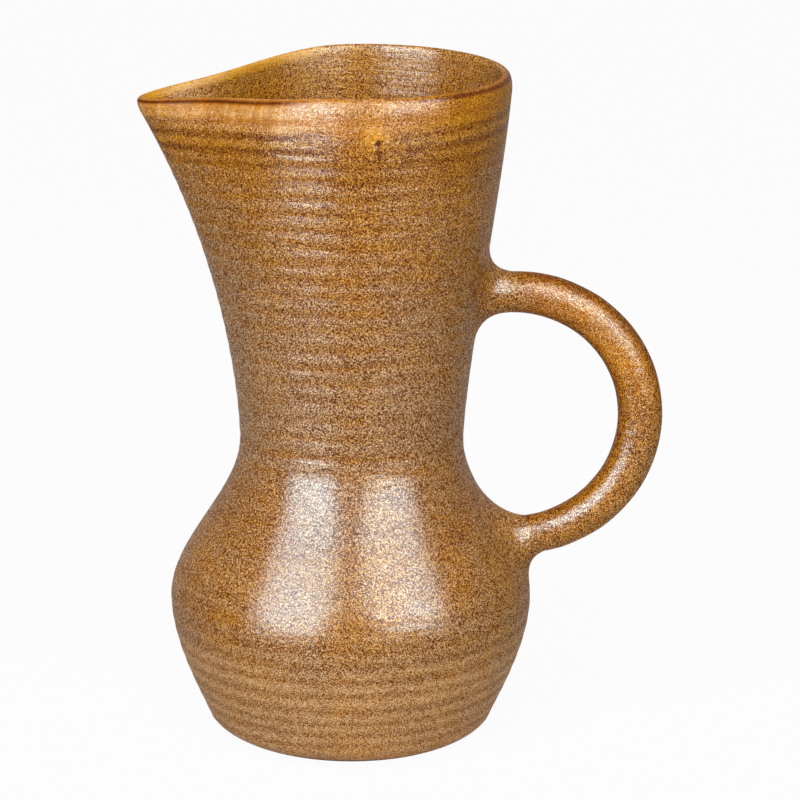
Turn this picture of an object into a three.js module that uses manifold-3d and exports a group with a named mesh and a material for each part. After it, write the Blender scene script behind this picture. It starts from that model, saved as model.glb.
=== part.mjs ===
// Stoneware pitcher in millimetres: +Z up, pouring lip toward -X, handle toward +X, base centre at the origin.
// A thrown belly and a thrown neck are stuck together at the waist with slip. A rolled coil handle is stuck
// with slip to the neck and to the shoulder, and a soft coil of clay is smoothed round each of its ends.
import * as THREE from "three";
import { mergeVertices } from "three/addons/utils/BufferGeometryUtils.js";
import Module from "manifold-3d";

// Thrown body: outside radii and heights above the table
const HEIGHT = 270;
const BASE_RADIUS = 43;
const HEEL_RADIUS = 56.2;
const HEEL_HEIGHT = 8;
const BELLY_RADIUS = 72;
const BELLY_HEIGHT = 57;
const WAIST_RADIUS = 44.5;
const WAIST_HEIGHT = 121;
const MOUTH_RADIUS = 58.4;
const WALL = 5;
const FLOOR = 7;
const FLOOR_FILLET = 12;

// Thrown curves: how far each one runs straight before it bends
const HEEL_RUN = 9.5;
const HEEL_RISE = 3;
const LOWER_WALL_RUN = 5.3;
const LOWER_WALL_RISE = 12;
const BELLY_RUN_BELOW = 18;
const BELLY_RUN_ABOVE = 20;
const WAIST_RUN_BELOW = 22;
const WAIST_RUN_ABOVE = 25;
const MOUTH_RUN = 45;

// Joint of the two thrown pieces, just below the narrowest place
const WAIST_JOINT_DROP = 5;
const SLIP = 1;
const GAP = 0.3;

// Pulled lip: how far it reaches past the round mouth, and how it narrows and droops
const LIP_REACH = 32;
const LIP_START_HEIGHT = 130;
const LIP_CURVE = 2.2;
const LIP_WIDTH = 0.181;
const THROAT_WIDTH = 0.42;
const MOUTH_SHIFT = 4;
const LIP_DROOP_SLOPE = 0.155;
const LIP_DROOP_START = 13;
const LIP_DROOP_EASE = 8;

// Handle: a round coil bent in a half circle, thinned toward both ends
const HANDLE_THICKNESS = 17.8;
const HANDLE_UPPER_THICKNESS = 16.4;
const HANDLE_LOWER_THICKNESS = 15.2;
const HANDLE_BEND = 50;
const HANDLE_CENTRE_HEIGHT = 131.3;
const HANDLE_LEAD = 2;
const HANDLE_INSET = 6;
const UPPER_FILLET = 11;
const LOWER_FILLET = 13;
const FILLET_EDGE = 0.8;

// Fineness of the meshes
const BELLY_SIDES = 48;
const NECK_SIDES = 56;
const LIP_CROWDING = 0.5;
const HANDLE_SIDES = 16;
const HANDLE_STEPS = 40;
const FILLET_SIDES = 32;
const FILLET_STEPS = 6;
const HEEL_STEPS = 4;
const BELLY_STEPS = 16;
const NECK_STEPS = 15;
const RIM_STEPS = 6;
const INSIDE_STEPS = 13;
const FLOOR_STEPS = 4;
const CURVE_STEPS = 40;
const MERGE = 1e-3;

const wasm = await Module();
wasm.setup();

const glaze = new THREE.MeshStandardMaterial({ color: 0xa7743f, roughness: 0.4, metalness: 0 });
const amberGlaze = new THREE.MeshStandardMaterial({ color: 0xad7338, roughness: 0.4, metalness: 0 });
const slipClay = new THREE.MeshStandardMaterial({ color: 0xb08a60, roughness: 0.8, metalness: 0 });

function solid(geometry) {
  const bare = geometry.clone();
  bare.deleteAttribute("normal");
  bare.deleteAttribute("uv");
  const merged = mergeVertices(bare, MERGE);
  return new wasm.Manifold(
    new wasm.Mesh({
      numProp: 3,
      vertProperties: merged.attributes.position.array,
      triVerts: new Uint32Array(merged.index.array),
    }),
  );
}

function geometryOf(cut) {
  const mesh = cut.getMesh();
  const geometry = new THREE.BufferGeometry();
  geometry.setAttribute("position", new THREE.BufferAttribute(mesh.vertProperties, 3));
  geometry.setIndex(new THREE.BufferAttribute(mesh.triVerts, 1));
  return geometry;
}

// Turned on the wheel about the Z axis: points are (radius, height)
function turned(points, sides) {
  return new THREE.LatheGeometry(points, sides).rotateX(Math.PI / 2);
}

// Outside of the thrown wall, from the base edge up to the start of the rounded rim
const point = (radius, height) => new THREE.Vector2(radius, height);
const rimHeight = HEIGHT - WALL / 2;
const heel = new THREE.QuadraticBezierCurve(
  point(BASE_RADIUS, 0),
  point(BASE_RADIUS + HEEL_RUN, HEEL_RISE),
  point(HEEL_RADIUS, HEEL_HEIGHT),
);
const lowerWall = new THREE.CubicBezierCurve(
  point(HEEL_RADIUS, HEEL_HEIGHT),
  point(HEEL_RADIUS + LOWER_WALL_RUN, HEEL_HEIGHT + LOWER_WALL_RISE),
  point(BELLY_RADIUS, BELLY_HEIGHT - BELLY_RUN_BELOW),
  point(BELLY_RADIUS, BELLY_HEIGHT),
);
const shoulder = new THREE.CubicBezierCurve(
  point(BELLY_RADIUS, BELLY_HEIGHT),
  point(BELLY_RADIUS, BELLY_HEIGHT + BELLY_RUN_ABOVE),
  point(WAIST_RADIUS, WAIST_HEIGHT - WAIST_RUN_BELOW),
  point(WAIST_RADIUS, WAIST_HEIGHT),
);
const flare = new THREE.CubicBezierCurve(
  point(WAIST_RADIUS, WAIST_HEIGHT),
  point(WAIST_RADIUS, WAIST_HEIGHT + WAIST_RUN_ABOVE),
  point(MOUTH_RADIUS, rimHeight - MOUTH_RUN),
  point(MOUTH_RADIUS, rimHeight),
);

// A line beside the wall's outside, this far in from it
function wallLine(depth) {
  const line = [];
  for (const curve of [lowerWall, shoulder, flare]) {
    for (let i = 0; i <= CURVE_STEPS; i++) {
      const place = curve.getPoint(i / CURVE_STEPS);
      const along = curve.getTangent(i / CURVE_STEPS);
      line.push(point(place.x - depth * along.y, place.y + depth * along.x));
    }
  }
  return line;
}
const outside = wallLine(0);
const inside = wallLine(WALL);

function radiusAt(line, height) {
  const above = line.findIndex((place) => place.y >= height);
  if (above === 0) return line[0].x;
  if (above < 0) return line[line.length - 1].x;
  const [low, high] = [line[above - 1], line[above]];
  const share = (height - low.y) / Math.max(high.y - low.y, MERGE);
  return THREE.MathUtils.lerp(low.x, high.x, share);
}

// Points on a wall line at evenly spaced heights, both ends included
function wallPoints(line, from, to, steps) {
  return Array.from({ length: steps + 1 }, (_, i) => {
    const height = THREE.MathUtils.lerp(from, to, i / steps);
    return point(radiusAt(line, height), height);
  });
}

const jointHeight = WAIST_HEIGHT - WAIST_JOINT_DROP;
const neckFoot = jointHeight + SLIP;

// Belly: a thrown bowl, flat underneath, with its floor curving up into the wall
const grown = (points, extra) => points.map((place) => point(place.x + extra, place.y));
const bellyOutside = [
  ...heel.getPoints(HEEL_STEPS).slice(0, -1),
  ...wallPoints(outside, HEEL_HEIGHT, jointHeight, BELLY_STEPS),
];

function bellyGeometry() {
  const filletTop = FLOOR + FLOOR_FILLET;
  const filletEnd = point(radiusAt(inside, filletTop), filletTop);
  const corner = new THREE.QuadraticBezierCurve(
    filletEnd,
    point(radiusAt(inside, FLOOR), FLOOR),
    point(filletEnd.x - FLOOR_FILLET, FLOOR),
  );
  return turned(
    [
      point(0, 0),
      ...bellyOutside,
      ...wallPoints(inside, jointHeight, filletTop, INSIDE_STEPS),
      ...corner.getPoints(FLOOR_STEPS).slice(1),
      point(0, FLOOR),
    ],
    BELLY_SIDES,
  );
}

function filledBelly(extra) {
  const outline = grown(bellyOutside, extra);
  return solid(turned([point(0, 0), ...outline, point(0, jointHeight)], BELLY_SIDES));
}

// Pull of the lip at a height: none at its start, and growing faster and faster up to the rim
function pullAt(height) {
  return Math.max(0, (height - LIP_START_HEIGHT) / (HEIGHT - LIP_START_HEIGHT)) ** LIP_CURVE;
}

// The round neck drawn out into the lip, with the mouth leaning a little back toward the handle
function pullLip(geometry) {
  const places = geometry.attributes.position;
  for (let i = 0; i < places.count; i++) {
    const [x, y, height] = [places.getX(i), places.getY(i), places.getZ(i)];
    const turn = Math.atan2(y, -x);
    const angle = turn - LIP_CROWDING * Math.sin(turn);
    const pull = pullAt(height);
    const width = THREE.MathUtils.lerp(THROAT_WIDTH, LIP_WIDTH, Math.min(1, Math.sqrt(pull)));
    const radius = Math.hypot(x, y) + (LIP_REACH * pull) / Math.cosh(angle / width);
    const newX = MOUTH_SHIFT * pull - radius * Math.cos(angle);
    const past = -newX - LIP_DROOP_START;
    const droop = (LIP_DROOP_SLOPE * (past + Math.hypot(past, LIP_DROOP_EASE))) / 2;
    places.setXYZ(i, newX, radius * Math.sin(angle), height - droop * pull);
  }
  return geometry;
}

// Neck: a thrown collar, open at both ends, with a rounded rim
const neckOutside = wallPoints(outside, neckFoot, rimHeight, NECK_STEPS);

function neckGeometry() {
  const rim = new THREE.EllipseCurve(MOUTH_RADIUS - WALL / 2, rimHeight, WALL / 2, WALL / 2, 0, Math.PI);
  return pullLip(
    turned(
      [
        ...neckOutside,
        ...rim.getPoints(RIM_STEPS).slice(1, -1),
        ...wallPoints(inside, rimHeight, neckFoot, INSIDE_STEPS),
        neckOutside[0],
      ],
      NECK_SIDES,
    ),
  );
}

function filledNeck(extra) {
  const outline = grown(neckOutside, extra);
  return solid(pullLip(turned([point(0, neckFoot), ...outline, point(0, rimHeight)], NECK_SIDES)));
}

// Slip between the two thrown pieces: a flat ring, flush with the wall
const waistOutside = wallPoints(outside, jointHeight, neckFoot, 1);

function waistSlipGeometry() {
  const waistInside = wallPoints(inside, neckFoot, jointHeight, 1);
  return turned([...waistOutside, ...waistInside, waistOutside[0]], BELLY_SIDES);
}

function filledWaist(extra) {
  const outline = grown(waistOutside, extra);
  return solid(turned([point(0, jointHeight), ...outline, point(0, neckFoot)], BELLY_SIDES));
}

// A piece cut back to lie this far outside the whole thrown body
function clearOfBody(piece, gap) {
  return piece.subtract(filledBelly(gap)).subtract(filledWaist(gap)).subtract(filledNeck(gap));
}

// Middle line of the handle: straight out of the neck, round half a circle and straight into the shoulder
const upperHeight = HANDLE_CENTRE_HEIGHT + HANDLE_BEND;
const lowerHeight = HANDLE_CENTRE_HEIGHT - HANDLE_BEND;
const bendX = radiusAt(outside, lowerHeight) + HANDLE_LEAD;
const upperRadius = HANDLE_UPPER_THICKNESS / 2;
const lowerRadius = HANDLE_LOWER_THICKNESS / 2;
const upperRun = bendX - radiusAt(outside, upperHeight - upperRadius) + HANDLE_INSET;
const lowerRun = bendX - radiusAt(outside, lowerHeight + lowerRadius) + HANDLE_INSET;

class HandleLine extends THREE.Curve {
  getPoint(share) {
    const bend = Math.PI * HANDLE_BEND;
    const along = share * (upperRun + bend + lowerRun) - upperRun;
    if (along < 0) return new THREE.Vector3(bendX + along, 0, upperHeight);
    if (along > bend) return new THREE.Vector3(bendX + bend - along, 0, lowerHeight);
    const angle = along / HANDLE_BEND;
    const reach = HANDLE_BEND * Math.sin(angle);
    const rise = HANDLE_BEND * Math.cos(angle);
    return new THREE.Vector3(bendX + reach, 0, HANDLE_CENTRE_HEIGHT + rise);
  }
}

// The rolled coil, or a thicker copy of it: full in the middle of the bend and thinner at each end
function handleCoil(extra) {
  const middleRadius = HANDLE_THICKNESS / 2;
  const section = new THREE.Shape().absarc(0, 0, middleRadius, 0, 2 * Math.PI);
  const geometry = new THREE.ExtrudeGeometry(section, {
    extrudePath: new HandleLine(),
    steps: HANDLE_STEPS,
    curveSegments: HANDLE_SIDES / 2,
  });
  const places = geometry.attributes.position;
  for (let i = 0; i < places.count; i++) {
    const place = new THREE.Vector3().fromBufferAttribute(places, i);
    const rise = place.z - HANDLE_CENTRE_HEIGHT;
    const bend = Math.max(0, Math.sin(Math.atan2(place.x - bendX, Math.abs(rise))));
    const reach = HANDLE_BEND * bend;
    const level = Math.sign(rise) * Math.sqrt(HANDLE_BEND ** 2 - reach ** 2);
    const middle = new THREE.Vector3(
      bend > 0 ? bendX + reach : place.x,
      0,
      HANDLE_CENTRE_HEIGHT + level,
    );
    const endRadius = rise > 0 ? upperRadius : lowerRadius;
    const radius = THREE.MathUtils.lerp(endRadius, middleRadius, bend) + extra;
    place.sub(middle).setLength(radius).add(middle);
    places.setXYZ(i, place.x, place.y, place.z);
  }
  return solid(geometry);
}

const handleGap = SLIP + 2 * GAP;
const coil = handleCoil(0);
const handle = clearOfBody(coil, handleGap);
const slipOn = (filled) => coil.intersect(filled(GAP + SLIP)).subtract(filled(GAP));

// Soft coil smoothed round one end of the handle: a hollow fillet from the wall to the handle's skin.
// It is turned about the handle's line and set on the wall. The bend carries its far edge up or down.
function jointCoil(endRadius, size, height, bendWay) {
  const fillet = new THREE.QuadraticBezierCurve(
    point(endRadius + size, FILLET_EDGE),
    point(endRadius + FILLET_EDGE, FILLET_EDGE),
    point(endRadius + FILLET_EDGE, size),
  );
  const outline = [
    point(0, -HANDLE_INSET),
    point(endRadius + size, -HANDLE_INSET),
    ...fillet.getPoints(FILLET_STEPS),
    point(0, size),
  ];
  const geometry = new THREE.LatheGeometry(outline, FILLET_SIDES);
  const places = geometry.attributes.position;
  for (let i = 0; i < places.count; i++) {
    const y = -places.getX(i);
    const level = height + places.getZ(i);
    const wall = MOUTH_SHIFT * pullAt(level) + Math.sqrt(radiusAt(outside, level) ** 2 - y * y);
    const x = wall + places.getY(i);
    const past = Math.max(0, x - bendX);
    const bent = HANDLE_BEND - Math.sqrt(HANDLE_BEND ** 2 - past ** 2);
    places.setXYZ(i, x, y, level + bendWay * bent);
  }
  return clearOfBody(solid(geometry), GAP).subtract(handleCoil(GAP));
}

const pitcher = new THREE.Group();
function addPiece(name, geometry, material) {
  geometry.computeVertexNormals();
  const piece = new THREE.Mesh(geometry, material);
  piece.name = name;
  pitcher.add(piece);
}

addPiece("belly", bellyGeometry(), glaze);
addPiece("waist_slip", waistSlipGeometry(), slipClay);
addPiece("neck", neckGeometry(), glaze);
addPiece("handle", geometryOf(handle), amberGlaze);
addPiece("upper_handle_slip", geometryOf(slipOn(filledNeck)), slipClay);
addPiece("lower_handle_slip", geometryOf(slipOn(filledBelly)), slipClay);
const upperCoil = jointCoil(upperRadius, UPPER_FILLET, upperHeight, -1);
const lowerCoil = jointCoil(lowerRadius, LOWER_FILLET, lowerHeight, 1);
addPiece("upper_joint_coil", geometryOf(upperCoil), amberGlaze);
addPiece("lower_joint_coil", geometryOf(lowerCoil), amberGlaze);

export default pitcher;
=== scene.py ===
# Stoneware pitcher: a thrown belly and a thrown neck joined at the waist, and a rolled coil handle whose two
# ends are smoothed onto the neck and the shoulder. Metres, +Z up, pouring lip toward -X, handle toward +X.
import math

import bmesh
import bpy
import numpy as np
from mathutils import Matrix, Vector, noise
from mathutils.geometry import interpolate_bezier


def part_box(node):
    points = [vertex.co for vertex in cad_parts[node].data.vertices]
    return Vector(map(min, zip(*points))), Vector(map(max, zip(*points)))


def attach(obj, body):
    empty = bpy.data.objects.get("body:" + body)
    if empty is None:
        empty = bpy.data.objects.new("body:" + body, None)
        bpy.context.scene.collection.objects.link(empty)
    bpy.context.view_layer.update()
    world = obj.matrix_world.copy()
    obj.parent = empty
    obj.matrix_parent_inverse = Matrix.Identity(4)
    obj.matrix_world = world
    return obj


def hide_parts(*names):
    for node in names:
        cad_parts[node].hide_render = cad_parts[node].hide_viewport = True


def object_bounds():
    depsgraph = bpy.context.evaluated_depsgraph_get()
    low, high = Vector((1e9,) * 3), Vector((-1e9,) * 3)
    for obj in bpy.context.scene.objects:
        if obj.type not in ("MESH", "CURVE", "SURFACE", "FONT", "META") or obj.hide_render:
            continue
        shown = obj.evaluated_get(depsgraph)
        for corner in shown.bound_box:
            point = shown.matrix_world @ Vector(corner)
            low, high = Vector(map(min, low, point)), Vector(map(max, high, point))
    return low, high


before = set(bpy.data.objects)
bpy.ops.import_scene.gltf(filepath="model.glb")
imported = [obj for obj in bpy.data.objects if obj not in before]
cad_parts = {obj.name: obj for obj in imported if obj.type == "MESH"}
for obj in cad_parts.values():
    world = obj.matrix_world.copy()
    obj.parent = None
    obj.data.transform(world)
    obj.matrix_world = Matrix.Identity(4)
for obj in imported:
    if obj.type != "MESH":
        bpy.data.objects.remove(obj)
cad_low, cad_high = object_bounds()


# Belly: the lower half of the pitcher, a bowl of stoneware clay thrown on the wheel with its floor.
# Fingers leave soft rings on the lower wall and a rib smooths the shoulder. The whole bowl is glazed, apart
# from the flat base, which is wiped bare.
BELLY_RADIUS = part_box("belly")[1].y
JOINT_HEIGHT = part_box("belly")[1].z
BELLY_HEIGHT = 0.057
BASE_RADIUS = 0.043
BASE_EDGE = 0.001
HEEL_RADIUS = 0.0562
HEEL_HEIGHT = 0.008
WAIST_RADIUS = 0.0445
WAIST_HEIGHT = 0.121
MOUTH_RADIUS = 0.0584
RIM_START = 0.2675
WALL = 0.005
FLOOR = 0.007
FLOOR_FILLET = 0.012
BELLY_STEPS = 240
OUTSIDE_ROW = 0.0008
INSIDE_ROW = 0.0022
BASE_ROWS = 8
HEEL_ROWS = 14
CORNER_ROWS = 8
FLOOR_ROWS = 16
CURVE_STEPS = 60
MERGE_DISTANCE = 1e-6
CREASE_ANGLE = math.radians(50)

# The outside of the wall from the base to the mouth, as curves of (radius, height) with two handles each.
heel = [(BASE_RADIUS, 0), (0.0493, 0.002), (0.0537, 0.0047), (HEEL_RADIUS, HEEL_HEIGHT)]
lower_wall = [
    (HEEL_RADIUS, HEEL_HEIGHT),
    (0.0615, 0.020),
    (BELLY_RADIUS, 0.039),
    (BELLY_RADIUS, BELLY_HEIGHT),
]
shoulder = [
    (BELLY_RADIUS, BELLY_HEIGHT),
    (BELLY_RADIUS, 0.077),
    (WAIST_RADIUS, 0.099),
    (WAIST_RADIUS, WAIST_HEIGHT),
]
flare = [
    (WAIST_RADIUS, WAIST_HEIGHT),
    (WAIST_RADIUS, 0.146),
    (MOUTH_RADIUS, 0.2225),
    (MOUTH_RADIUS, RIM_START),
]


def curve_points(knots, count):
    """Points (radius, height) along a Bezier curve, from its two ends and the two handles between them."""
    return [(p.x, p.y) for p in interpolate_bezier(*[Vector(k) for k in knots], count)]


# The inside line lies one wall's thickness in from the outside line, square to it.
wall_curves = (lower_wall, shoulder, flare)
outside_line = np.concatenate([curve_points(knots, CURVE_STEPS)[:-1] for knots in wall_curves])
along_line = np.gradient(outside_line, axis=0)
along_line /= np.linalg.norm(along_line, axis=1)[:, None]
inside_line = outside_line + WALL * np.stack([-along_line[:, 1], along_line[:, 0]], axis=1)


def radius_at(line, height):
    """Radius of a wall line at a height."""
    return float(np.interp(height, line[:, 1], line[:, 0]))


def wall_rows(line, start, end, row):
    """Points up or down a wall line, about one row apart, both ends included."""
    count = max(2, round(abs(end - start) / row) + 1)
    return [(radius_at(line, z), z) for z in np.linspace(start, end, count)]


def thrown(skins, steps):
    """Clay turned about the Z axis. skins names each run of (radius, height) points, in order. Every vertex
    keeps the number of its skin and the height that it was thrown at."""
    bm = bmesh.new()
    skin = bm.verts.layers.float.new("skin")
    level = bm.verts.layers.float.new("level")
    verts = []
    for number, points in enumerate(skins.values()):
        for radius, height in points:
            vert = bm.verts.new((radius, 0, height))
            vert[skin] = number
            vert[level] = height
            verts.append(vert)
    edges = [bm.edges.new(pair) for pair in zip(verts, verts[1:])]
    bmesh.ops.spin(
        bm,
        geom=verts + edges,
        axis=(0, 0, 1),
        cent=(0, 0, 0),
        angle=math.tau,
        steps=steps,
        use_merge=True,
    )
    bmesh.ops.remove_doubles(bm, verts=bm.verts, dist=MERGE_DISTANCE)
    return bm, skin, level


PAINT = ("pale", "pool", "calm", "bare")


def paint_layers(bm):
    """Layers for how pale the glaze is, how thick it pools, how calm its specks are, and for bare clay."""
    return [bm.verts.layers.float.new(name) for name in PAINT]


def glaze_over(zones):
    """How pale and how thick the glaze lies where zones overlap. A zone is (share here, paler, thicker),
    and one with a share of 1 is all over."""
    pale = sum(share * paler for share, paler, _ in zones)
    pool = sum(share * thicker for share, _, thicker in zones)
    return pale, pool


def add_piece(name, bm, material, slot, *nodes):
    """Makes the clay a piece of the pitcher that stands for these solids."""
    bmesh.ops.remove_doubles(bm, verts=bm.verts, dist=MERGE_DISTANCE)
    bmesh.ops.recalc_face_normals(bm, faces=bm.faces)
    for face in bm.faces:
        face.smooth = True
    for edge in bm.edges:
        edge.smooth = edge.calc_face_angle(0) < CREASE_ANGLE
    mesh = bpy.data.meshes.new(name)
    bm.to_mesh(mesh)
    bm.free()
    mesh.materials.append(material)
    piece = bpy.data.objects.new(name, mesh)
    bpy.context.scene.collection.objects.link(piece)
    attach(piece, "root")
    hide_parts(*nodes)


def eased(low, high, value):
    """0 below low, 1 above high and a smooth step between them."""
    share = min(1, max(0, (value - low) / (high - low)))
    return share * share * (3 - 2 * share)


def bump_at(middle, width, value):
    """1 at the middle, fading to 0 about two widths away."""
    return math.exp(-(((value - middle) / width) ** 2))


def noise_round(angle, scale, level=0):
    """Smooth noise about 0. It changes faster round the pitcher with the scale, and up it with the level."""
    return noise.noise(Vector((scale * math.cos(angle), scale * math.sin(angle), level)))


RING_DEPTH = 0.00021
RING_START = -0.25
WANDER = 0.15
WANDER_ROUND = 1.5
WANDER_UP = 0.9
PRESS_CHANGE = 0.4
PRESS_ROUND = 1.8
PRESS_UP = 70


def rings_below(rise, first, growth):
    """How many finger rings fit in a rise, when the first has this height and the next ones grow."""
    return math.log(1 + growth * rise / first) / growth


def ring_crest(turn_number, angle):
    """Spiral finger ring: 1 on a crest and 0 in a groove, uneven as a hand is."""
    wander = WANDER * noise_round(angle, WANDER_ROUND, WANDER_UP * turn_number)
    return 0.5 + 0.5 * math.cos(math.tau * (turn_number - angle / math.tau + RING_START + wander))


def pressed(height, angle):
    """How hard the fingers press: about 1, more here and less there."""
    return 1 + PRESS_CHANGE * noise_round(angle, PRESS_ROUND, PRESS_UP * height)


BELLY_RING = 0.0052
BELLY_RING_GROWTH = 0.05
BELLY_RING_STRENGTH = 0.6
HEEL_RINGS = (0.004, 0.012)
RIBBED_WALL = (0.048, 0.078)
RIBBED_AWAY = 0.8


def belly_rings(height, angle):
    """The belly's finger rings at a place: crest or groove, and how strong they are."""
    turn_number = rings_below(max(0, height - HEEL_HEIGHT), BELLY_RING, BELLY_RING_GROWTH)
    strength = BELLY_RING_STRENGTH * eased(*HEEL_RINGS, height)
    strength *= 1 - RIBBED_AWAY * eased(*RIBBED_WALL, height)
    return ring_crest(turn_number, angle), strength * pressed(height, angle)


GROOVE_HEIGHTS = (0.1165, 0.1232)
GROOVE_WIDTH = 0.0014
GROOVE_DEPTH = 0.00012
GROOVE_POOL = 0.3


def waist_grooves(height):
    """The two lines turned into the waist: 1 at their bottoms and 0 beside them."""
    return sum(bump_at(middle, GROOVE_WIDTH, height) for middle in GROOVE_HEIGHTS)


# The glaze is an iron-bearing satin one, of specks that are amber brown where it lies thick and tan where it
# lies thin. It covers every piece that can be seen, so it is made here once, in two mixtures.
def shader_node(tree, kind, inputs=None, **settings):
    """A shader node with its settings, and its inputs set or linked."""
    made = tree.nodes.new("ShaderNode" + kind)
    for name, value in settings.items():
        setattr(made, name, value)
    for name, value in (inputs or {}).items():
        if isinstance(value, bpy.types.NodeSocket):
            tree.links.new(value, made.inputs[name])
        else:
            made.inputs[name].default_value = value
    return made


def math_node(tree, operation, first, second):
    """The result of one operation on two sockets or numbers."""
    return shader_node(tree, "Math", {0: first, 1: second}, operation=operation).outputs[0]


def noise_at(tree, place, scale, detail):
    """Cloudy noise about 1/scale metres across."""
    inputs = {"Vector": place, "Scale": scale, "Detail": detail, "Roughness": 0.6}
    return shader_node(tree, "TexNoise", inputs).outputs["Fac"]


def weighed(tree, start, terms):
    """start plus each socket times its weight."""
    total = start
    for socket, weight in terms:
        inputs = {0: socket, 1: weight, 2: total}
        total = shader_node(tree, "Math", inputs, operation="MULTIPLY_ADD").outputs[0]
    return total


def colour_ramp(tree, share, stops):
    """Colours from a list of (place, linear colour)."""
    made = shader_node(tree, "ValToRGB", {"Fac": share})
    elements = made.color_ramp.elements
    while len(elements) < len(stops):
        elements.new(0.5)
    for element, (place, colour) in zip(elements, stops):
        element.position = place
        element.color = (*colour, 1)
    return made.outputs["Color"]


def mixed(tree, share, first, second):
    """The first colour where share is 0 and the second where it is 1."""
    made = shader_node(tree, "Mix", {0: share, 6: first, 7: second}, data_type="RGBA")
    return made.outputs[2]


def new_material(name):
    """A material with only its shader and its output."""
    material = bpy.data.materials.new(name)
    material.use_nodes = True
    tree = material.node_tree
    tree.nodes.clear()
    shader = shader_node(tree, "BsdfPrincipled")
    shader_node(tree, "OutputMaterial", {"Surface": shader.outputs["BSDF"]})
    return material, tree, shader


THICK_SPECKS = [
    (0.00, (0.120, 0.022, 0.000)),
    (0.40, (0.410, 0.108, 0.000)),
    (0.80, (0.650, 0.215, 0.000)),
    (1.00, (0.900, 0.430, 0.030)),
]
THIN_SPECKS = [
    (0.00, (0.118, 0.029, 0.000)),
    (0.40, (0.376, 0.136, 0.014)),
    (0.80, (0.610, 0.295, 0.080)),
    (1.00, (0.960, 0.680, 0.390)),
]
BARE_CLAY = (0.62, 0.47, 0.33, 1)
GRAIN_SCALE = 3350
MOTTLE_SCALE = 600
STREAK_SCALE = 220
RIPPLE_SCALE = 430
CLOUD_SCALE = 55
DRAWN_ROUND = (0.12, 0.12, 1)
CALMING = 0.8
SPECK_BASE = -0.275
SPECK_SPREAD = 3.3
CLOUD_LEAN = 1.5
STREAK_LEAN = 1.0
HUE_LEAN = 1.9
SPOT_LEAN = -1.8
POOL_LEAN = 1.5
SKIN_HEIGHT = 0.00002
GLOSS = 0.21
SATIN = 0.24
UPRIGHT = 0.25


def speckled_glaze(name, thickness, turned):
    """Satin glaze of light and dark specks. thickness is the share of it that lies thick, and turned is how
    far fine turning lines draw its gloss out up and down."""
    material, tree, shader = new_material(name)
    place = shader_node(tree, "TexCoord").outputs["Object"]
    flat = shader_node(tree, "Mapping", {"Vector": place, "Scale": DRAWN_ROUND}).outputs["Vector"]
    cells = shader_node(tree, "TexVoronoi", {"Vector": place, "Scale": GRAIN_SCALE}).outputs
    chance = shader_node(tree, "SeparateColor", {"Color": cells["Color"]}).outputs
    grain, hue = chance["Red"], chance["Green"]
    mottle = noise_at(tree, place, MOTTLE_SCALE, detail=2)
    streak = noise_at(tree, flat, STREAK_SCALE, detail=2)
    cloud = noise_at(tree, place, CLOUD_SCALE, detail=3)
    ripple = noise_at(tree, flat, RIPPLE_SCALE, detail=1)
    pale, pool, calm, bare = [
        shader_node(tree, "Attribute", attribute_name=layer).outputs["Fac"] for layer in PAINT
    ]

    # Round specks, each of its own brightness. Dark ones lean to thick glaze and light ones to thin.
    spots = math_node(tree, "SUBTRACT", grain, cells["Distance"])
    strength = weighed(tree, 1.0, [(calm, -CALMING)])
    lights = [(spots, strength), (mottle, 0.05), (streak, 0.10), (cloud, 0.15), (pale, 0.40)]
    speck = weighed(tree, SPECK_BASE, [(weighed(tree, 0.0, lights), SPECK_SPREAD)])
    lean = thickness - 0.5 * (CLOUD_LEAN + STREAK_LEAN + HUE_LEAN)
    leans = [(cloud, CLOUD_LEAN), (streak, STREAK_LEAN), (hue, HUE_LEAN)]
    leans += [(spots, SPOT_LEAN), (pool, POOL_LEAN)]
    share = shader_node(tree, "Clamp", {"Value": weighed(tree, lean, leans)}).outputs["Result"]
    thin_colour = colour_ramp(tree, speck, THIN_SPECKS)
    thick_colour = colour_ramp(tree, speck, THICK_SPECKS)
    glazed = mixed(tree, share, thin_colour, thick_colour)
    tree.links.new(mixed(tree, bare, glazed, BARE_CLAY), shader.inputs["Base Color"])

    # A satin gloss, stronger on light specks and where the glaze is looked at straight.
    away = shader_node(tree, "LayerWeight", {"Blend": 0.75}).outputs["Facing"]
    facing = weighed(tree, GLOSS, [(away, -GLOSS)])
    shine = weighed(tree, 0.3, [(grain, 1.2), (pale, -0.1), (calm, -0.2)])
    tree.links.new(math_node(tree, "MULTIPLY", facing, shine), shader.inputs["Specular IOR Level"])
    roughness = weighed(tree, SATIN, [(grain, 0.06), (pale, 0.12), (bare, 0.5)])
    tree.links.new(roughness, shader.inputs["Roughness"])
    skin = weighed(tree, 0.0, [(cells["Distance"], 1.0), (mottle, 2.0), (ripple, 16.0)])
    bump = shader_node(tree, "Bump", {"Strength": 1.0, "Distance": SKIN_HEIGHT, "Height": skin})
    tree.links.new(bump.outputs["Normal"], shader.inputs["Normal"])
    shader.inputs["Anisotropic"].default_value = turned
    shader.inputs["Anisotropic Rotation"].default_value = UPRIGHT
    return material


body_glaze = speckled_glaze("speckled_glaze", thickness=0.92, turned=0.68)
coil_glaze = speckled_glaze("amber_glaze", thickness=1.3, turned=0)

# Heights at which the glaze changes: from and to for a step, middle and width for a band.
GLAZE_END = (0.0016, 0.0008)
BARE_EDGE = (0.0004, 0.0009)
LOW_WALL = (0.035, 0.062)
PAINTED_LIGHT_BAND = (0.072, 0.018)
UPPER_SHOULDER = (0.098, 0.014)
BELOW_WAIST = (0.104, 0.116)


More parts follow.
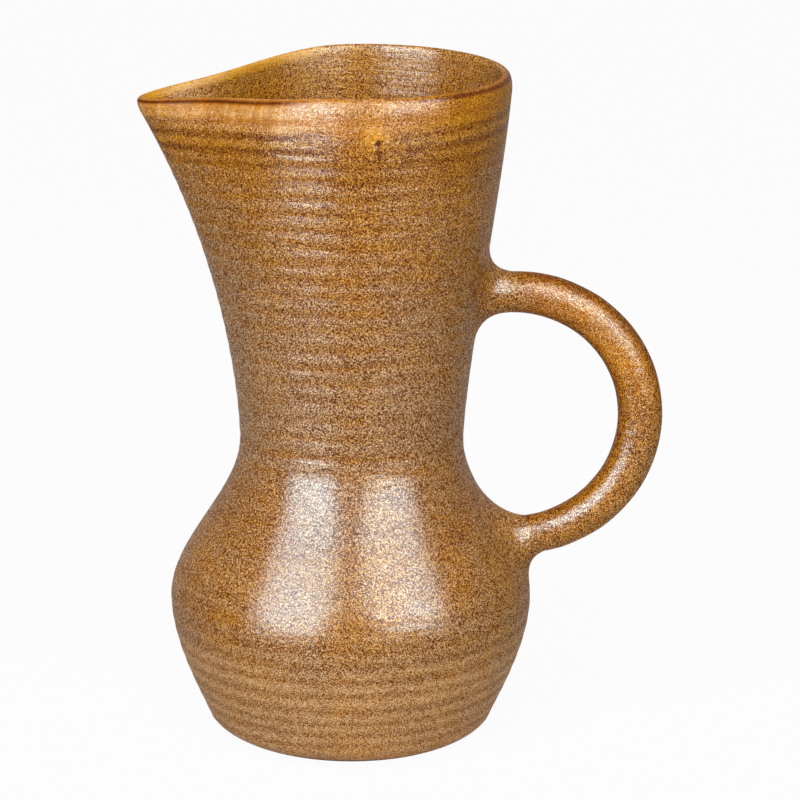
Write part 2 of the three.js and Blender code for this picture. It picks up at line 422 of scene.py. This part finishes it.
def belly_glaze(height, angle, crest, strength):
    """How pale, thick and calm the glaze lies outside, and where it ends: thin and calm on the low wall. The
    full part of the belly is painted thicker and brighter, most of all in front, as painted light for the
    sheen between the two reflections."""
    front = max(0, -math.sin(angle)) ** 8
    ring = strength * (crest - 0.5)
    low = 1 - eased(*LOW_WALL, height)
    # painted light: the full part of the belly paler and more amber, most of all in front
    painted_light = bump_at(*PAINTED_LIGHT_BAND, height) * (1 + 1.5 * front)
    zones = [
        (1, -0.05, 0.05),
        (ring, 0.42, -0.40),
        (low, 0.44, -0.35),
        (painted_light, 0.07, 0.22),
        (bump_at(*UPPER_SHOULDER, height), -0.07, 0.12),
        (eased(*BELOW_WAIST, height), 0, -0.15),
        (waist_grooves(height), 0, GROOVE_POOL),
        (bump_at(*GLAZE_END, height), -1, 1),
    ]
    pale, pool = glaze_over(zones)
    calm = 0.7 * low
    bare = 1 - eased(*BARE_EDGE, height)
    return pale, pool, calm, bare


def make_belly():
    """The thrown bowl, from the middle of its base over the wall's top to the middle of its floor."""
    fillet_top = FLOOR + FLOOR_FILLET
    fillet_radius = radius_at(inside_line, fillet_top)
    corner = [
        (fillet_radius, fillet_top),
        (fillet_radius - 0.002, FLOOR + 0.004),
        (fillet_radius - 0.005, FLOOR),
        (fillet_radius - FLOOR_FILLET, FLOOR),
    ]
    outer_wall = wall_rows(outside_line, HEEL_HEIGHT, JOINT_HEIGHT, OUTSIDE_ROW)
    inner_wall = wall_rows(inside_line, JOINT_HEIGHT, fillet_top, INSIDE_ROW)
    skins = {
        "base": [(r, 0) for r in np.linspace(0, BASE_RADIUS - BASE_EDGE, BASE_ROWS)],
        "outside": curve_points(heel, HEEL_ROWS)[:-1] + outer_wall,
        "inside": inner_wall + curve_points(corner, CORNER_ROWS)[1:],
        "floor": [(r, FLOOR) for r in np.linspace(fillet_radius - FLOOR_FILLET, 0, FLOOR_ROWS)[1:]],
    }
    bm, skin, level = thrown(skins, BELLY_STEPS)
    pale, pool, calm, bare = paint_layers(bm)
    for vert in bm.verts:
        side = list(skins)[round(vert[skin])]
        if side == "base":
            vert[bare] = 1
        if side != "outside":
            continue
        height = vert[level]
        angle = math.atan2(vert.co.y, vert.co.x)
        crest, strength = belly_rings(height, angle)
        cut = RING_DEPTH * strength * (1 - crest) + GROOVE_DEPTH * waist_grooves(height)
        radius = math.hypot(vert.co.x, vert.co.y)
        vert.co.xy *= (radius - cut) / radius
        vert[pale], vert[pool], vert[calm], vert[bare] = belly_glaze(height, angle, crest, strength)
    return bm


add_piece("thrown_belly", make_belly(), body_glaze, "glaze", "belly")


# Waist slip: the ring of wet clay that sticks the neck to the belly. It is wiped flush with both walls and
# fired under the same glaze.
NECK_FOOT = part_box("neck")[0].z
SLIP_ROWS = 3


def make_waist_slip():
    """A flat ring between the two thrown pieces."""
    heights = np.linspace(JOINT_HEIGHT, NECK_FOOT, SLIP_ROWS)
    outer = [(radius_at(outside_line, z) - GROOVE_DEPTH * waist_grooves(z), z) for z in heights]
    inner = [(radius_at(inside_line, z), z) for z in heights[::-1]]
    bm, _, _ = thrown({"outside": outer, "inside": [*inner, outer[0]]}, BELLY_STEPS)
    paint_layers(bm)
    return bm


add_piece("waist_slip_ring", make_waist_slip(), body_glaze, "slip", "waist_slip")


# Neck: a thrown collar that flares to the mouth, with finger rings nearly all the way up. Two fingers and a
# thumb pull its rim out into the pouring lip, and the glaze runs thin and pale over the rounded rim.
HEIGHT = cad_high.z
NECK_STEPS = 256
LIP_REACH = 0.032
LIP_START = 0.130
LIP_CURVE = 2.2
LIP_WIDTH = 0.181
THROAT_WIDTH = 0.42
LIP_CROWDING = 0.45
MOUTH_SHIFT = 0.004
DROOP_SLOPE = 0.155
DROOP_START = 0.013
DROOP_EASE = 0.008
RIM_TURN = 0.2625
INNER_RIM_TURN = 0.264
INNER_WALL_TOP = 0.262
CROWN_INSET = 0.0034
OUTER_RIM_ROWS = 16
INNER_RIM_ROWS = 9


def pull_at(height):
    """How much of the lip's pull a height gets: none at its start, all of it at the rim."""
    return max(0, (height - LIP_START) / (HEIGHT - LIP_START)) ** LIP_CURVE


def pulled(radius, angle, height):
    """Where a point of the round neck goes when the lip is pulled. The angle is measured from -X."""
    pull = pull_at(height)
    share = min(1, math.sqrt(pull))
    width = THROAT_WIDTH + (LIP_WIDTH - THROAT_WIDTH) * share
    reach = radius + LIP_REACH * pull / math.cosh(angle / width)
    x = MOUTH_SHIFT * pull - reach * math.cos(angle)
    past = -x - DROOP_START
    droop = DROOP_SLOPE * (past + math.hypot(past, DROOP_EASE)) / 2
    return Vector((x, reach * math.sin(angle), height - droop * pull))


NECK_RING = 0.0079
NECK_RING_GROWTH = -0.0124
NECK_RING_START = 0.113
NECK_RING_END = (0.235, 0.256)


def neck_rings(height, angle):
    """The neck's finger rings at a place: crest or groove, and how strong they are. They are fainter toward
    the lip, the handle and the rim."""
    turn_number = rings_below(height - NECK_RING_START, NECK_RING, NECK_RING_GROWTH)
    lip_side = eased(0.3, 0.8, -math.cos(angle))
    handle_side = eased(0.1, 0.6, math.cos(angle))
    strength = (1 - 0.4 * lip_side) * (1 - 0.8 * handle_side) * (1 - 0.8 * eased(*NECK_RING_END, height))
    return ring_crest(turn_number, angle), strength * pressed(height, angle)


# Heights at which the glaze changes, as on the belly. The fade and the amber band count from the rim glaze.
RIM_GLAZE = 0.261
RIM_GLAZE_SAG = 0.006
RIM_GLAZE_WANDER = 0.003
RIM_GLAZE_ROUND = 5
RIM_STREAK_ROUND = 40
RIM_GLAZE_FADE = (-0.006, 0.004)
AMBER_BAND = (-0.012, 0.010)
RIM_LINE = (0.2688, 0.0007)
SIDE_RINGS = (0.2525, 0.007)
UPPER_NECK = (0.15, 0.22)
LOWER_NECK = (0.18, 0.22)


def neck_glaze(height, angle, crest, strength):
    """How pale, thick and calm the glaze lies outside: thin over the rim, with amber bands below it. The rim
    is thinner in front and toward the lip, and the low neck thinner toward the lip, as painted sheen, and
    the upper neck is more amber in front as painted shade.
    """
    front, right = max(0, -math.sin(angle)), math.cos(angle)
    ring = crest - 0.5
    edge = RIM_GLAZE - RIM_GLAZE_SAG * front**2 + RIM_GLAZE_WANDER * noise_round(angle, RIM_GLAZE_ROUND)
    rim = eased(*RIM_GLAZE_FADE, height - edge)
    over = rim * (0.36 - 0.08 * eased(0, 0.8, right) + 0.12 * eased(0, 0.6, -right))
    band = bump_at(*AMBER_BAND, height - edge)
    line = bump_at(*RIM_LINE, height) * eased(0.2, 0.7, abs(right))
    side_rings = bump_at(*SIDE_RINGS, height) * eased(0.1, 0.6, abs(right)) * ring
    upper = eased(*UPPER_NECK, height)
    # painted sheen: the low neck's glaze thinner and greyer toward the lip
    left_sheen = eased(0.3, 0.7, -right) * (1 - eased(*LOWER_NECK, height))
    zones = [
        (1, 0, -0.10),
        (strength * (1 + 2 * band) * ring, 0.12, 0),
        ((0.4 + 0.6 * strength) * ring, 0, -0.50),
        (side_rings, 0.80, 0),
        (over, 1, 0),
        (over * noise_round(angle, RIM_STREAK_ROUND), 0.30, 0),
        # painted sheen: the rim's glaze thinner and greyer in front and toward the lip
        (over * front, 0, -0.70),
        (over * eased(0, 0.5, -right), 0, -0.50),
        (rim * eased(0.1, 0.7, right), 0, 1),
        (band, -0.10, 0.60),
        (line, -0.70, 1),
        (upper, 0, 0.30),
        # painted shade: more amber on the front of the upper neck, to damp the reflected sheen there
        (upper * front**2, 0, 0.30),
        (left_sheen, 0, -0.20),
        (waist_grooves(height), 0, GROOVE_POOL),
    ]
    pale, pool = glaze_over(zones)
    calm = 2.4 * over
    return pale, pool, calm


LIP_GOLD = (0.2655, 0.2675)
BELOW_MOUTH = (0.243, 0.262)


def mouth_glaze(height, angle):
    """How pale and how thick the glaze lies inside: golden along the lip, thin below the rim, then amber,
    with painted shade on the handle's side.
    """
    right = math.cos(angle)
    gold = eased(*LIP_GOLD, height) * eased(0.25, 0.5, -right)
    deep = 1 - eased(*BELOW_MOUTH, height)
    # painted shade: the inside on the handle's side darker and thinner
    handle_side = eased(0.2, 0.8, right)
    zones = [
        (1, 0.40, 0.65),
        (gold, 1.10, 1.20),
        (deep, -0.50, 0.80),
        (handle_side, -0.15, -0.30),
    ]
    return glaze_over(zones)


BLISTER_ANGLE = math.radians(-96.3)
BLISTER_HEIGHT = 0.2530
BLISTER_REACH = 0.009
BLISTER_CUTS = 3
PIT_RADIUS = 0.0011
PIT_DEPTH = 0.0003
RIDGE = (0.0028, 0.0012)
RIDGE_HEIGHT = 0.00015
HALO_RADIUS = 0.0042
HALO_SHIFT = 0.001
RUN_ACROSS = (0.0004, 0.0014)
RUN_DOWN = (-0.004, 0.003)


def make_blister(bm, outside, pale, pool):
    """A bubble that burst in the glaze in front: a pit in a raised pale ring, with a dark run below it."""
    spot = pulled(radius_at(outside_line, BLISTER_HEIGHT), BLISTER_ANGLE, BLISTER_HEIGHT)

    def is_near(vert):
        return outside(vert) and (vert.co - spot).length < BLISTER_REACH

    near = [edge for edge in bm.edges if all(is_near(vert) for vert in edge.verts)]
    bmesh.ops.subdivide_edges(bm, edges=near, cuts=BLISTER_CUTS, use_grid_fill=True)
    out = Vector((spot.x, spot.y, 0)).normalized()
    for vert in filter(is_near, bm.verts):
        across, _, up = vert.co - spot
        far = math.hypot(across, up)
        pit = bump_at(0, PIT_RADIUS, far)
        halo = bump_at(0, HALO_RADIUS, math.hypot(across + HALO_SHIFT, up))
        run = bump_at(*RUN_ACROSS, across) * bump_at(*RUN_DOWN, up)
        vert.co += out * (RIDGE_HEIGHT * bump_at(*RIDGE, far) - PIT_DEPTH * pit)
        paler, thicker = glaze_over([(pit, -2.5, 0), (halo, 0.8, 0.4), (run, -1.1, 1)])
        vert[pale] += paler
        vert[pool] += thicker


def make_neck():
    """The collar, from its foot over the rim and down inside."""
    inside, crown = MOUTH_RADIUS - WALL, MOUTH_RADIUS - CROWN_INSET
    rim_outer = [
        (MOUTH_RADIUS, RIM_TURN),
        (MOUTH_RADIUS, 0.267),
        (MOUTH_RADIUS - 0.0010, HEIGHT),
        (crown, HEIGHT),
    ]
    rim_inner = [
        (crown, HEIGHT),
        (crown - 0.0010, HEIGHT),
        (inside, 0.2685),
        (inside, INNER_RIM_TURN),
    ]
    outer_wall = wall_rows(outside_line, NECK_FOOT, RIM_TURN, OUTSIDE_ROW)
    inner_wall = wall_rows(inside_line, INNER_WALL_TOP, NECK_FOOT, INSIDE_ROW)
    skins = {
        "outside": outer_wall[:-1] + curve_points(rim_outer, OUTER_RIM_ROWS),
        "inside": curve_points(rim_inner, INNER_RIM_ROWS)[1:] + inner_wall,
        "foot": outer_wall[:1],
    }
    bm, skin, level = thrown(skins, NECK_STEPS)
    pale, pool, calm, _ = paint_layers(bm)

    def outside(vert):
        return list(skins)[round(vert[skin])] == "outside"

    for vert in bm.verts:
        height = vert[level]
        turn = math.atan2(vert.co.y, -vert.co.x)
        angle = turn - LIP_CROWDING * math.sin(turn)
        radius = math.hypot(vert.co.x, vert.co.y)
        if outside(vert):
            crest, strength = neck_rings(height, math.pi - angle)
            radius -= RING_DEPTH * strength * (1 - crest) + GROOVE_DEPTH * waist_grooves(height)
            vert[pale], vert[pool], vert[calm] = neck_glaze(height, math.pi - angle, crest, strength)
        else:
            vert[pale], vert[pool] = mouth_glaze(height, math.pi - angle)
        vert.co = pulled(radius, angle, height)
    make_blister(bm, outside, pale, pool)
    return bm


add_piece("thrown_neck", make_neck(), body_glaze, "glaze", "neck")


# Handle: a round coil of clay, rolled on the bench, bent in a half circle and thinned toward both ends.
# It runs straight into the neck and the shoulder and stops on the slip there. Its glaze is a smooth tan on
# the sides of the upper half, paler there and at the bow partly as a painted highlight, and amber along the
# back and the inside of the bend as painted shade.
HANDLE_BEND = 0.050
HANDLE_CENTRE = 0.1313
HANDLE_RADIUS = 0.0089
UPPER_RADIUS = 0.0082
LOWER_RADIUS = 0.0076
HANDLE_GAP = 0.0016
HANDLE_LEAD = 0.002
HANDLE_SIDES = 56
HANDLE_STEPS = 110
RUN_STEPS = 5
DENT_DEPTH = 0.0002
DENT_SCALE = 60
upper_height = HANDLE_CENTRE + HANDLE_BEND
lower_height = HANDLE_CENTRE - HANDLE_BEND
bend_x = radius_at(outside_line, lower_height) + HANDLE_LEAD


def wall_x(y, z):
    """The outside of the pitcher's wall on the handle's side."""
    angle = math.asin(min(1, max(-1, y / radius_at(outside_line, z))))
    rings = neck_rings if z > JOINT_HEIGHT else belly_rings
    crest, strength = rings(z, angle)
    radius = radius_at(outside_line, z) - RING_DEPTH * strength * (1 - crest)
    return MOUTH_SHIFT * pull_at(z) + math.sqrt(max(0, radius * radius - y * y))


# Where the glaze changes, as on the belly, in heights from the handle's middle. OFF_JOINT counts from the
# neck, and BOW is in shares of the bend.
UPPER_HALF = (-0.015, 0.025)
OFF_JOINT = (0.008, 0.022)
BOW = (0.6, 0.35)
ABOVE_LOW_END = (-0.03, 0)
TOP_PART = (0.01, 0.03)


def handle_glaze(rise, off_neck, bend, side, outward):
    """How pale, thick and calm the glaze lies. side is 1 or -1 on the handle's two sides, and outward runs
    from -1 on the inside of the bend to 1 along its back. The amber on the edges and the inside of the bend
    is painted shade, and the paler upper half and bow are partly a painted highlight."""
    upper = eased(*UPPER_HALF, rise) * eased(*OFF_JOINT, off_neck)
    bow = bump_at(*BOW, rise / HANDLE_BEND) * eased(0.3, 0.7, bend)
    # painted shade: darker amber on the coil's edges seen from the front, and on the inside of the bend
    edge = 1 - eased(0.3, 0.85, abs(side))
    amber = edge * max(upper, eased(0.2, 0.6, -outward))
    zones = [
        (1, 0.07, 0),
        # partly painted highlight: the upper half and the bow are paler
        (upper, 0.18, 0),
        (bow, 0.10, 0),
        (amber, -0.42, 0.80),
        (eased(*ABOVE_LOW_END, rise), 0, 0.15),
        (eased(*TOP_PART, rise), 0, -0.10),
    ]
    pale, pool = glaze_over(zones)
    calm = 0.8 * upper * (1 - 0.3 * edge)
    return pale, pool, calm


def make_handle():
    """A circle swept round the half bend, with its two ends drawn straight to the wall."""
    bm = bmesh.new()
    start = Matrix.Translation((bend_x, 0, upper_height)) @ Matrix.Rotation(math.pi / 2, 4, "Y")
    bmesh.ops.create_circle(bm, segments=HANDLE_SIDES, radius=HANDLE_RADIUS, matrix=start)
    ring = bm.edges[:]
    swept = bmesh.ops.spin(
        bm,
        geom=bm.verts[:] + ring,
        axis=(0, 1, 0),
        cent=(bend_x, 0, HANDLE_CENTRE),
        angle=math.pi,
        steps=HANDLE_STEPS,
    )
    last = [e for e in swept["geom_last"] if isinstance(e, bmesh.types.BMEdge)]
    for edges, height in ((ring, upper_height), (last, lower_height)):
        run = bend_x - radius_at(outside_line, height) - HANDLE_GAP
        for _ in range(RUN_STEPS):
            grown = bmesh.ops.extrude_edge_only(bm, edges=edges)["geom"]
            edges = [e for e in grown if isinstance(e, bmesh.types.BMEdge) and e.is_boundary]
            verts = [v for v in grown if isinstance(v, bmesh.types.BMVert)]
            bmesh.ops.translate(bm, verts=verts, vec=(-run / RUN_STEPS, 0, 0))
        bmesh.ops.contextual_create(bm, geom=edges)
    pale, pool, calm, _ = paint_layers(bm)
    neck_radius = radius_at(outside_line, upper_height)
    for vert in bm.verts:
        rise = vert.co.z - HANDLE_CENTRE
        out = vert.co.x - bend_x
        bend = max(0, out / math.hypot(out, rise))
        reach = HANDLE_BEND * bend
        level = math.copysign(math.sqrt(HANDLE_BEND**2 - reach**2), rise)
        middle = Vector((bend_x + reach if bend > 0 else vert.co.x, 0, HANDLE_CENTRE + level))
        end_radius = UPPER_RADIUS if rise > 0 else LOWER_RADIUS
        radius = end_radius + (HANDLE_RADIUS - end_radius) * bend
        radius -= DENT_DEPTH * abs(noise.noise(vert.co * DENT_SCALE))
        way = (vert.co - middle).normalized()
        outward = way.x * bend + way.z * level / HANDLE_BEND
        vert.co = middle + way * radius
        off_neck = vert.co.x - neck_radius
        vert[pale], vert[pool], vert[calm] = handle_glaze(rise, off_neck, bend, way.y, outward)
    return bm


add_piece("coil_handle", make_handle(), coil_glaze, "amber_glaze", "handle")


# Joint coils: a soft coil of clay pressed round each end of the handle and smoothed with a wet finger, so
# that the handle grows out of the wall in a fillet with no edge.
FILLET_SIDES = 96
FILLET_STEPS = 24
FILLET_SINK = 0.00006
FILLET_ROOT = 0.0008
FILLET_ELBOW = (0.0004, 0.0003)
UPPER_FILLET = 0.012
LOWER_FILLET = 0.014


def make_joint(end_radius, size, height, bend_way):
    """A fillet turned about the handle's line, then seated on the wall and bent with the handle, down for a
    bend_way of -1 and up for 1."""
    bm = bmesh.new()
    start = Vector((end_radius + size, -FILLET_SINK))
    elbow = Vector((end_radius, 0)) + Vector(FILLET_ELBOW)
    end = Vector((end_radius - FILLET_SINK, size))
    outline = curve_points([start, start.lerp(elbow, 2 / 3), end.lerp(elbow, 2 / 3), end], FILLET_STEPS)
    outline += [(end_radius - FILLET_ROOT, size), (end_radius - FILLET_ROOT, -FILLET_ROOT)]
    outline += [(end_radius + size, -FILLET_ROOT), outline[0]]
    verts = [bm.verts.new((lift, 0, height + radius)) for radius, lift in outline]
    edges = [bm.edges.new(pair) for pair in zip(verts, verts[1:])]
    bmesh.ops.spin(
        bm,
        geom=verts + edges,
        axis=(1, 0, 0),
        cent=(0, 0, height),
        angle=math.tau,
        steps=FILLET_SIDES,
        use_merge=True,
    )
    paint_layers(bm)
    for vert in bm.verts:
        lift, y, z = vert.co
        x = wall_x(y, z) + lift
        past = max(0, x - bend_x)
        bent = HANDLE_BEND - math.sqrt(HANDLE_BEND**2 - past**2)
        vert.co = (x, y, z + bend_way * bent)
    return bm


upper_joint = make_joint(UPPER_RADIUS, UPPER_FILLET, upper_height, bend_way=-1)
lower_joint = make_joint(LOWER_RADIUS, LOWER_FILLET, lower_height, bend_way=1)
add_piece("upper_joint", upper_joint, coil_glaze, "amber_glaze", "upper_joint_coil")
add_piece("lower_joint", lower_joint, coil_glaze, "amber_glaze", "lower_joint_coil")


# Handle slips: the two dabs of slip between the handle's ends and the wall, hidden inside the smoothed
# joints. They are fired clay with no glaze on them.
SLIP_SAND = [(0.3, (0.33, 0.19, 0.09)), (0.7, (0.52, 0.32, 0.17))]
SAND_HEIGHT = 0.0003
SLIP_ROUGHNESS = 0.8


def slip_clay():
    """Matt fired slip with a sandy grain."""
    material, tree, shader = new_material("fired_slip")
    place = shader_node(tree, "TexCoord").outputs["Object"]
    sand = noise_at(tree, place, GRAIN_SCALE, detail=2)
    tree.links.new(colour_ramp(tree, sand, SLIP_SAND), shader.inputs["Base Color"])
    bump = shader_node(tree, "Bump", {"Strength": 0.3, "Distance": SAND_HEIGHT, "Height": sand})
    tree.links.new(bump.outputs["Normal"], shader.inputs["Normal"])
    shader.inputs["Roughness"].default_value = SLIP_ROUGHNESS
    return material


fired_slip = slip_clay()
for node in ("upper_handle_slip", "lower_handle_slip"):
    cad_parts[node].data.materials.clear()
    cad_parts[node].data.materials.append(fired_slip)


# Studio: a plain white floor in even white surroundings, and the camera a little above with a long lens. Two
# soft boxes light the clay and stay out of its gloss. Two cool ones beside them show only in the gloss, as
# the tall reflections on the belly.
FLOOR_SIZE = 6
FLOOR_COLOUR = (0.65, 0.65, 0.65, 1)
FLOOR_GLOW = 0.96
AMBIENT = 0.12
WHITE = (1, 1, 1)
COOL_WHITE = (0.57, 0.85, 1.0)
LIGHT_DISTANCE = 2.0
GLINT_DISTANCE = 1.3
BOX_WIDTH = 0.82
BOX_HEIGHT = 1.07
CAMERA_PIVOT = Vector((0, 0, 0.135))
CAMERA_TARGET = Vector((0.0191, 0, 0.1368))
CAMERA_DISTANCE = 2.025
CAMERA_ELEVATION = math.radians(15.0)
CAMERA_ROLL = math.radians(0.48)
CAMERA_LENS = 229.3
CAMERA_SIGHT = 50


def seen_directly(tree):
    """1 for rays that show the surroundings as they are: from the camera, off gloss and through glass."""
    path = shader_node(tree, "LightPath").outputs
    seen = math_node(tree, "MAXIMUM", path["Is Camera Ray"], path["Is Glossy Ray"])
    return math_node(tree, "MAXIMUM", seen, path["Is Transmission Ray"])


def make_floor():
    """A plain floor that looks white and still takes the pitcher's shadow."""
    bm = bmesh.new()
    bmesh.ops.create_grid(bm, x_segments=1, y_segments=1, size=FLOOR_SIZE / 2)
    mesh = bpy.data.meshes.new("floor")
    bm.to_mesh(mesh)
    bm.free()
    material = bpy.data.materials.new("white_floor")
    material.use_nodes = True
    tree = material.node_tree
    tree.nodes.clear()
    glow = math_node(tree, "MULTIPLY", seen_directly(tree), FLOOR_GLOW)
    paper = shader_node(tree, "BsdfDiffuse", {"Color": FLOOR_COLOUR}).outputs["BSDF"]
    white = shader_node(tree, "Emission").outputs["Emission"]
    both = shader_node(tree, "MixShader", {0: glow, 1: paper, 2: white})
    shader_node(tree, "OutputMaterial", {"Surface": both.outputs[0]})
    mesh.materials.append(material)
    floor = bpy.data.objects.new("floor", mesh)
    bpy.context.scene.collection.objects.link(floor)


def make_world():
    """Even white surroundings, dimmer as a light than they look."""
    world = bpy.data.worlds.new("white_room")
    world.use_nodes = True
    tree = world.node_tree
    tree.nodes.clear()
    glow = weighed(tree, AMBIENT, [(seen_directly(tree), 1 - AMBIENT)])
    room = shader_node(tree, "Background", {"Color": (*WHITE, 1), "Strength": glow})
    shader_node(tree, "OutputWorld", {"Surface": room.outputs[0]})
    bpy.context.scene.world = world


def make_soft_box(name, azimuth, elevation, distance, glow):
    """A tall soft box that faces the pitcher and grows with its distance. Azimuth runs from the camera to
    the right, in degrees."""
    lamp = bpy.data.lights.new(name, "AREA")
    lamp.shape = "RECTANGLE"
    lamp.size = BOX_WIDTH * distance
    lamp.size_y = BOX_HEIGHT * distance
    lamp.energy = glow * math.pi * lamp.size * lamp.size_y
    box = bpy.data.objects.new(name, lamp)
    turn, rise = math.radians(azimuth), math.radians(elevation)
    toward = Vector((math.sin(turn) * math.cos(rise), -math.cos(turn) * math.cos(rise), math.sin(rise)))
    box.location = Vector((0, 0, HEIGHT / 2)) + distance * toward
    box.rotation_euler = toward.to_track_quat("Z", "Y").to_euler()
    box.visible_camera = False
    bpy.context.scene.collection.objects.link(box)
    return box


def make_light(name, azimuth, elevation, glow):
    """A white soft box that lights the clay and isn't seen in its gloss."""
    box = make_soft_box(name, azimuth, elevation, LIGHT_DISTANCE, glow)
    box.data.color = WHITE
    box.visible_glossy = False


def make_glint(name, azimuth, elevation, glow):
    """A cool soft box that is seen in the gloss alone."""
    box = make_soft_box(name, azimuth, elevation, GLINT_DISTANCE, glow)
    box.data.color = COOL_WHITE
    box.visible_diffuse = False


def make_camera():
    """A long lens a little above the pitcher, square to the plane of the lip and the handle."""
    data = bpy.data.cameras.new("camera")
    data.lens = CAMERA_LENS
    data.clip_end = CAMERA_SIGHT
    camera = bpy.data.objects.new("camera", data)
    toward = Vector((0, -math.cos(CAMERA_ELEVATION), math.sin(CAMERA_ELEVATION)))
    camera.location = toward * CAMERA_DISTANCE + CAMERA_PIVOT
    look = (CAMERA_TARGET - camera.location).to_track_quat("-Z", "Y").to_matrix()
    camera.rotation_euler = (look @ Matrix.Rotation(CAMERA_ROLL, 3, "Z")).to_euler()
    bpy.context.scene.collection.objects.link(camera)
    bpy.context.scene.camera = camera


make_floor()
make_world()
make_light("key_box", azimuth=-13, elevation=42, glow=3.25)
make_light("fill_box", azimuth=20, elevation=42, glow=0.62)
make_glint("left_glint_box", azimuth=-40.5, elevation=25, glow=38)
make_glint("right_glint_box", azimuth=39.5, elevation=33, glow=32)
make_camera()
bpy.context.scene.view_settings.view_transform = "Standard"
